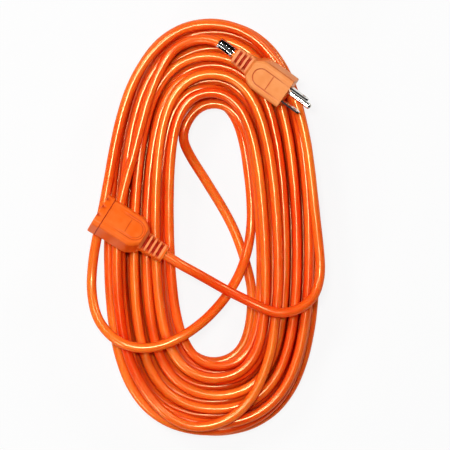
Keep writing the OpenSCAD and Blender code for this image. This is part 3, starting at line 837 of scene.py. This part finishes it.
def conn_panel_depth(x, y):
    far = arch_distance(x, y, **conn_panel)
    fade = 1 - 0.8 * ease((x - conn_line_x) / 12)
    groove = ease(-far / 0.3) * (1 - ease((-far - 1.5) / 0.4))
    across = line(x - conn_line_x, 0.35) * (1 - ease((np.abs(y) - 4.5) / 1.2))
    pad = 0.16 * ease((-far - 1.5) / 0.4)
    return fade * (0.5 * groove + 0.1 * line(far, 0.3)) + pad + 0.2 * across


def conn_panel_lines(x, y):
    """The groove's two edges, which fade towards the flange, and the line across the pad."""
    far = arch_distance(x, y, **conn_panel)
    edges = np.maximum(line(far, 0.35), 0.6 * line(far + 1.7, 0.35))
    across = line(x - conn_line_x, 0.35) * (1 - ease((np.abs(y) - 5) / 1.2))
    return np.maximum(0.7 * edges * (1 - 0.9 * ease((x - conn_line_x) / 9)), 0.6 * across)


def scallop(rings, marks):
    """Hollows across the flange, from its front edge backwards, on the top and the bottom."""
    x, y, z = np.moveaxis(rings, 2, 0)
    hollow = sum(line(y - place, 1.3) for place in scallops)
    front = ease((x - conn_face + scallop_l) / scallop_l)
    share = hollow * front * ease((np.abs(z) - conn_h / 2 + 2.0) / 1.2)
    rings[:, :, 2] = z - np.sign(z) * 0.75 * share
    rings[:, :, 0] = x - 0.9 * hollow * ease((x - conn_face + 2) / 2) * ease((np.abs(z) - 9) / 2)
    # the scallops are marked for painted shade
    marks[:] = np.maximum(marks, 0.9 * share)
    # the line round the shoulder is marked for the flange's painted shadow on the body
    marks[:] = np.maximum(marks, line(x - conn_shoulder, 0.4))


def make_connector_grip():
    body = body_tracks(conn_relief_l, conn_relief_d, conn_round_l, conn_w, conn_h, conn_face)

    def grown(x):
        half_w, half_h, bevel, bulge = body(x)
        out = ease((x - conn_shoulder) / 0.35 + 0.5)
        return (half_w + flange_step * out, half_h + flange_step * out, bevel + 1.6 * out,
                bulge - 0.4 * out)

    places = ring_places(conn_relief_l, conn_face, [conn_line_x, conn_shoulder])
    rings = grip_rings(places, grown, conn_face, conn_w - 2 * shell_wall, conn_h - 2 * shell_wall,
                       conn_block_l, front_edge=0.8)
    marks = np.zeros(rings.shape[:2])
    skin, skin_marks = rings[rear_rings:-rim_rings], marks[rear_rings:-rim_rings]
    sink(skin, skin_marks, conn_h / 2, conn_panel_depth, conn_panel_lines)
    scallop(skin, skin_marks)
    cut_slots(skin, skin_marks, conn_first_slot, conn_slots, slot_pitch, slot_l, slot_floor)
    return close_rings("connector_skin", rings, marks, conn_at, conn_turn)


connector_skin = make_connector_grip()
print("connector_skin", len(connector_skin.data.vertices), "vertices")

# %% [markdown]
# ## The foil tag
#
# A short strip of foil is wrapped round the cord behind the plug and pinched flat by hand. That
# leaves it with a few flat facets, small creases, and a last edge that overlaps the first. The
# strip is a spiral of just over one turn whose radius follows those facets, and has a thickness
# of its own.

# %% Foil
foil_l, foil_behind = 14.0, 2.0
foil_facets = (7, 46, 88, 130, 175, -27, -68, -112)
foil_start, foil_turns, foil_t = 0.9, 1.16, 0.05
foil_gap, foil_climb, foil_ragged = 0.07, 0.14, 0.35


def make_foil():
    around, along = 150, 44
    turn = np.linspace(0, foil_turns, around)[:, None]
    x = np.linspace(-foil_l - foil_behind, -foil_behind, along)[None, :]
    a = 2 * np.pi * turn
    way = a + foil_start
    crease = (0.03 * np.sin(3.1 * a + 0.9 * x) * np.sin(0.8 * x + 1.0)
              + 0.03 * np.abs(np.sin(2.3 * a - 0.55 * x + 0.6)) + 0.012 * np.sin(7 * a + 1.7 * x))
    lean = 90 - np.degrees(way) - 3 * np.sin(0.5 * x)
    off = np.abs((lean[..., None] - np.array(foil_facets) + 180) % 360 - 180).min(-1)
    pinched = (cord_d / 2 + foil_gap + foil_climb * turn) / np.cos(np.radians(off))
    radius = pinched + np.clip(crease, 0, None)
    off_middle = x + foil_behind + foil_l / 2
    ragged = foil_ragged * np.sin(5 * a) * (np.abs(off_middle) > foil_l / 2 - 0.7)
    point = np.stack(np.broadcast_arrays(x + ragged * np.sign(off_middle),
                                         radius * np.cos(way), radius * np.sin(way)), -1)
    outer = point.reshape(-1, 3)
    thin = 1 - foil_t / np.maximum(np.hypot(outer[:, 1], outer[:, 2]), 1)[:, None]
    inner = outer * np.column_stack([np.ones(len(outer)), thin, thin])
    local = np.vstack([outer, inner])
    grid = np.arange(around * along).reshape(around, along)
    quads = np.stack([grid[:-1, :-1], grid[1:, :-1], grid[1:, 1:], grid[:-1, 1:]], -1).reshape(-1, 4)
    m = around * along
    rim = np.concatenate([grid[0, :], grid[1:, -1], grid[-1, -2::-1], grid[-2:0:-1, 0]])
    edges = [[int(p), int(q), int(q) + m, int(p) + m] for p, q in zip(rim, np.roll(rim, -1))]
    faces = quads.tolist() + (quads[:, ::-1] + m).tolist() + edges
    return placed_mesh("foil_wrap", local, faces, plug_at, plug_turn, sharp_from=32)


foil_wrap = make_foil()
print("foil_wrap", len(foil_wrap.data.vertices), "vertices")

# %% [markdown]
# ### Moulded vinyl
#
# The ends are shot from softer, paler vinyl than the jacket. It has the fine matte texture of the
# mould, a faint mottle where the melt cooled, and a paler tone on its raised edges. The marks of
# the mesh paint shade into the slots and lines, a deep red, and paint a pale highlight on the
# ribs between them.

# %% Moulded vinyl
def moulded_finish(name, middle, pale, painted_shade_colour, rib_highlight_colour, place="local"):
    made = Finish(name, Specular_IOR_Level=0.15, Coat_Roughness=0.3, Coat_IOR=1.05,
                  Coat_Tint=(1.0, 0.84, 0.66, 1.0))
    at = made.attribute(place) if place else made.place()
    mottle = made.noise(at, 90, 3, 0.55)
    flow = made.noise(made.stretched(at, (40, 160, 160)), 1.0, 3, 0.6)
    mould = made.noise(at, 3200, 2, 0.6)
    scuff = made.noise(made.stretched(at, (170, 520, 520)), 1.0, 4, 0.7)
    worn = scuff.between(0.6, 0.76)
    raised = made.node("ShaderNodeNewGeometry", "Pointiness").between(0.51, 0.56)
    # marks above 0 carry painted shade, and marks below 0 a painted highlight
    mark = made.attribute("groove", "Fac")
    painted_shade_mask, rib_highlight = mark.clamped(), (mark * -1).clamped()
    colour = made.mix(mottle.between(0.3, 0.7), middle, part_way(middle, pale, 0.35))
    colour = made.mix(flow.between(0.45, 0.8) * 0.25, colour, pale)
    colour = made.mix(raised * 0.55 + worn * 0.18, colour, pale)
    # painted highlight on the ribs, then painted shade in the slots and lines
    colour = made.mix(rib_highlight, colour, rib_highlight_colour)
    colour = made.mix(painted_shade_mask * 0.9, colour, painted_shade_colour)
    made.set("Base Color", colour)
    made.set("Roughness", (0.3 + mottle * 0.08 + worn * 0.1 + painted_shade_mask * 0.2).clamped())
    made.set("Coat Weight", 1.0 - worn * 0.3)
    made.bump(mould * 0.25 + mottle * 0.8 + scuff * 0.6, 0.00004, 0.45)
    return made.material


# the fourth colour is the painted shade of slots and lines, the fifth the painted highlight on ribs
plug_vinyl = moulded_finish("plug_vinyl", rgb(232, 150, 92), rgb(246, 184, 132),
                            rgb(168, 22, 8), rgb(246, 164, 122))
conn_vinyl = moulded_finish("connector_vinyl", rgb(240, 104, 18), rgb(250, 142, 72),
                            rgb(168, 12, 4), rgb(255, 160, 108))
block_plug = moulded_finish("plug_block_vinyl", rgb(238, 130, 70), rgb(246, 160, 102),
                            rgb(200, 70, 30), rgb(246, 160, 102), None)
block_conn = moulded_finish("connector_block_vinyl", rgb(240, 96, 26), rgb(248, 128, 56),
                            rgb(190, 40, 14), rgb(248, 128, 56), None)
print("moulded finishes", plug_vinyl.name, conn_vinyl.name, block_plug.name, block_conn.name)

# %% [markdown]
# ### Metals
#
# The blades are stamped brass with a bright nickel plate: fine lengthwise stamping lines, a few
# rubs where they slide into an outlet, and warm brass showing through on the worst of them. The
# contacts inside are bare brass that has gone slightly brown in the heat of moulding, and the
# strands are bright drawn copper. The foil is thin aluminium, mirror-bright on each small facet.

# %% Metals
def metal_finish(name, base, worn_colour, roughness, line_scale, wear, bump=0.00004, spread=1.0):
    made = Finish(name, Metallic=1.0, Coat_Roughness=0.2)
    at = made.place()
    lines = made.noise(made.stretched(at, line_scale), 1.0, 3, 0.6)
    cloud = made.noise(at, 260, 3, 0.6)
    rubbed = made.noise(made.stretched(at, (500, 500, 1400)), 1.0, 4, 0.7)
    rub = rubbed.between(1 - wear - 0.1, 1 - wear + 0.1)
    colour = made.mix(cloud.between(0.35, 0.7) * 0.3, base, part_way(base, worn_colour, 0.5))
    made.set("Base Color", made.mix(rub * 0.8, colour, worn_colour))
    uneven = (lines * 0.12 + cloud * 0.06 + rub * 0.1) * spread
    made.set("Roughness", (uneven + roughness).clamped())
    made.bump(lines * 0.7 + cloud * 0.5, bump, 0.4)
    return made.material


nickel = metal_finish("nickel_plate", (0.76, 0.745, 0.71, 1), (0.72, 0.55, 0.3, 1),
                      roughness=0.07, line_scale=(700, 700, 4200), wear=0.3, spread=0.5)
brass = metal_finish("contact_brass", (0.76, 0.55, 0.24, 1), (0.5, 0.3, 0.12, 1),
                     roughness=0.22, line_scale=(600, 600, 3000), wear=0.42)
copper = metal_finish("copper_strands", (0.8, 0.41, 0.25, 1), (0.55, 0.22, 0.12, 1),
                      roughness=0.2, line_scale=(5200, 5200, 700), wear=0.35, bump=0.00012)
foil_metal = metal_finish("foil_metal", (0.86, 0.86, 0.85, 1), (0.93, 0.92, 0.88, 1),
                          roughness=0.03, line_scale=(900, 900, 900), wear=0.45, bump=0.00008,
                          spread=0.25)
print("metals", nickel.name, brass.name, copper.name, foil_metal.name)

# %% [markdown]
# ### Wire insulation
#
# Black, white and green are fixed by rule. It is thin extruded vinyl, so it shows faint drawing
# lines, a little talc that keeps it from sticking to the jacket, and the lay of the strands below.

# %% Insulation
def insulation_finish(name, colour, dust):
    made = Finish(name, Specular_IOR_Level=0.5, Coat_Roughness=0.3)
    at = made.place()
    lines = made.noise(made.stretched(at, (3800, 3800, 500)), 1.0, 3, 0.6)
    talc = made.noise(at, 700, 4, 0.7)
    dusty = talc.between(0.52, 0.72)
    drift = made.noise(at, 120, 2)
    tone = made.mix(drift.between(0.3, 0.7) * 0.4, colour, part_way(colour, dust, 0.3))
    made.set("Base Color", made.mix(dusty * 0.22, tone, dust))
    made.set("Roughness", (0.36 + dusty * 0.25 + lines * 0.08).clamped())
    made.bump(lines * 0.8 + talc * 0.4, 0.00006, 0.5)
    return made.material


wires = {"hot": insulation_finish("black_insulation", rgb(22, 22, 24), rgb(120, 118, 116)),
         "neutral": insulation_finish("white_insulation", rgb(234, 232, 224), rgb(250, 248, 244)),
         "ground": insulation_finish("green_insulation", rgb(18, 104, 48), rgb(140, 178, 150))}


# %% [markdown]
# The CAD pieces that stay in view, and the hidden ones, are dressed by the last word of their
# names.

# %% Dress the pieces
dress(plug_skin, plug_vinyl)
dress(connector_skin, conn_vinyl)
dress(foil_wrap, foil_metal)
for name, made in sorted(frame["nodes"].items()):
    role = name.split("_")[-1]
    if role == "wire":
        dress(made, wires[name.split("_")[1]])
    elif role in ("strands", "contact"):
        dress(made, copper if role == "strands" else brass)
    elif role in ("blade", "pin"):
        dress(made, nickel)
    elif role == "block":
        dress(made, block_plug if name.startswith("plug") else block_conn)
    elif role == "end":
        dress(made, jacket_plain)

# %% [markdown]
# ## What moves with what
#
# The hank lies still. The plug and the connector lift with everything inside them, and their skins
# and the foil go with them. The two free ends of the cord are not fastened to anything here; only
# their lengths are printed.

def stretch(first, last):
    part = route[first:last + 1] * MM
    return part, float(np.linalg.norm(np.diff(part, axis=0), axis=1).sum())


def on_body(body, *skins):
    """The skins and the CAD nodes that move with a body, but for those that the skins replace."""
    hidden = {"plug_grip", "connector_grip", "foil_band"}
    return [*skins, *[name for name in sorted(frame["nodes"])
                      if frame["nodes"][name]["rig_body"] == body and name not in hidden]]


for piece, body, slot, node in ((plug_skin, "plug_end", "plug_moulding", "plug_grip"),
                                (foil_wrap, "plug_end", "foil", "foil_band"),
                                (connector_skin, "connector_end", "connector_moulding",
                                 "connector_grip")):
    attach(piece, body)
    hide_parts(node)

for cord, body, first, last, exit_ring, far_end, pieces in (
        (hank_cord, "hank", plug_cut, conn_cut, plug_cut, "object", []),
        (plug_cord, None, 0, plug_cut, plug_cut, "plug", on_body("plug_end", plug_skin, foil_wrap)),
        (connector_cord, None, conn_cut, len(route) - 1, conn_cut, "connector",
         on_body("connector_end", connector_skin))):
    part, length = stretch(first, last)
    if body:
        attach(cord, body)
    print(cord.name, round(length, 3), "m")
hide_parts("coil_lower", "coil_upper", "crossing_stretch", "plug_tail",
            "connector_tail")
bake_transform(plug_cord)
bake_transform(connector_cord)

# %% [markdown]
# ## Floor and light
#
# The cord lies on a plain white floor. What looks straight at the floor, or sees it mirrored, gets
# a plain white glow over most of it, so the background stays white with a soft shadow in it. The
# world adds only a little, and the gaps stay deep. A mirror sees it bright straight overhead and
# nearly dark elsewhere, which gives the foil and the blades their black and white bands.

# %% Floor and world
floor_drop, glow_share = 0.0004, 0.88


def add_floor(size):
    """A square floor, a hair below the part, so that the two never show through each other."""
    made = add_mesh("floor", [(-size, -size, 0), (size, -size, 0), (size, size, 0), (-size, size, 0)],
                    [[0, 1, 2, 3]], smooth=False)
    made.location.z = -floor_drop
    paint = Finish("floor_white", Roughness=0.9, Base_Color=(0.72, 0.72, 0.72, 1),
                   Specular_IOR_Level=0.1)
    camera_ray, glossy_ray, passing_ray = (
        paint.node("ShaderNodeLightPath", f"Is {kind} Ray")
        for kind in ("Camera", "Glossy", "Transmission"))
    seen = (camera_ray + glossy_ray + passing_ray).clamped()
    glow = paint.node("ShaderNodeEmission", Color=(1, 1, 1, 1), Strength=1.0)
    blend = paint.node("ShaderNodeMixShader", _0=seen * glow_share,
                       _1=Socket(paint.tree, paint.shader.outputs[0]), _2=glow)
    put(paint.tree.nodes["Material Output"].inputs["Surface"], blend)
    dress(made, paint.material)
    return made


def make_world(ambient, overhead_glow, mirrored_dark):
    """A dim world, which a mirror sees bright overhead and darker still all round."""
    made = bpy.data.worlds.new("studio")
    made.use_nodes = True
    tree = made.node_tree
    upward = from_node(tree, "ShaderNodeSeparateXYZ", "Z",
                       _0=from_node(tree, "ShaderNodeTexCoord", "Generated"))
    mirrored = from_node(tree, "ShaderNodeLightPath", "Is Glossy Ray")
    overhead = upward.between(0.72, 0.9)
    put(tree.nodes["Background"].inputs["Strength"],
        ambient + mirrored * (overhead * overhead_glow - mirrored_dark))
    return made


floor = add_floor(size=3.0)
bpy.context.scene.world = make_world(ambient=0.12, overhead_glow=0.98, mirrored_dark=0.1)
print("floor", floor.name, "world", bpy.context.scene.world.name)

# %% [markdown]
# A small lamp right overhead draws the crisp pale line along the top of every strand. Three
# broader and weaker ones stand round the pile and shape its sides. None of them is strong: a
# colour comes out about as it is written.

# %% Lamps
def add_lamp(name, at, size, power, aim=(0, 0, 0.03)):
    light = bpy.data.lights.new(name, "AREA")
    light.size = size
    light.energy = power
    made = bpy.data.objects.new(name, light)
    made.location = at
    made.rotation_euler = (Vector(aim) - Vector(at)).to_track_quat("-Z", "Y").to_euler()
    bpy.context.scene.collection.objects.link(made)
    return made


add_lamp("overhead", (-0.12, 0.16, 1.7), 0.2, 16)
add_lamp("key", (-0.75, 0.75, 1.35), 0.5, 11)
add_lamp("back", (0.9, 0.95, 0.85), 0.4, 6)
add_lamp("front", (-0.9, -0.95, 0.85), 0.4, 7)
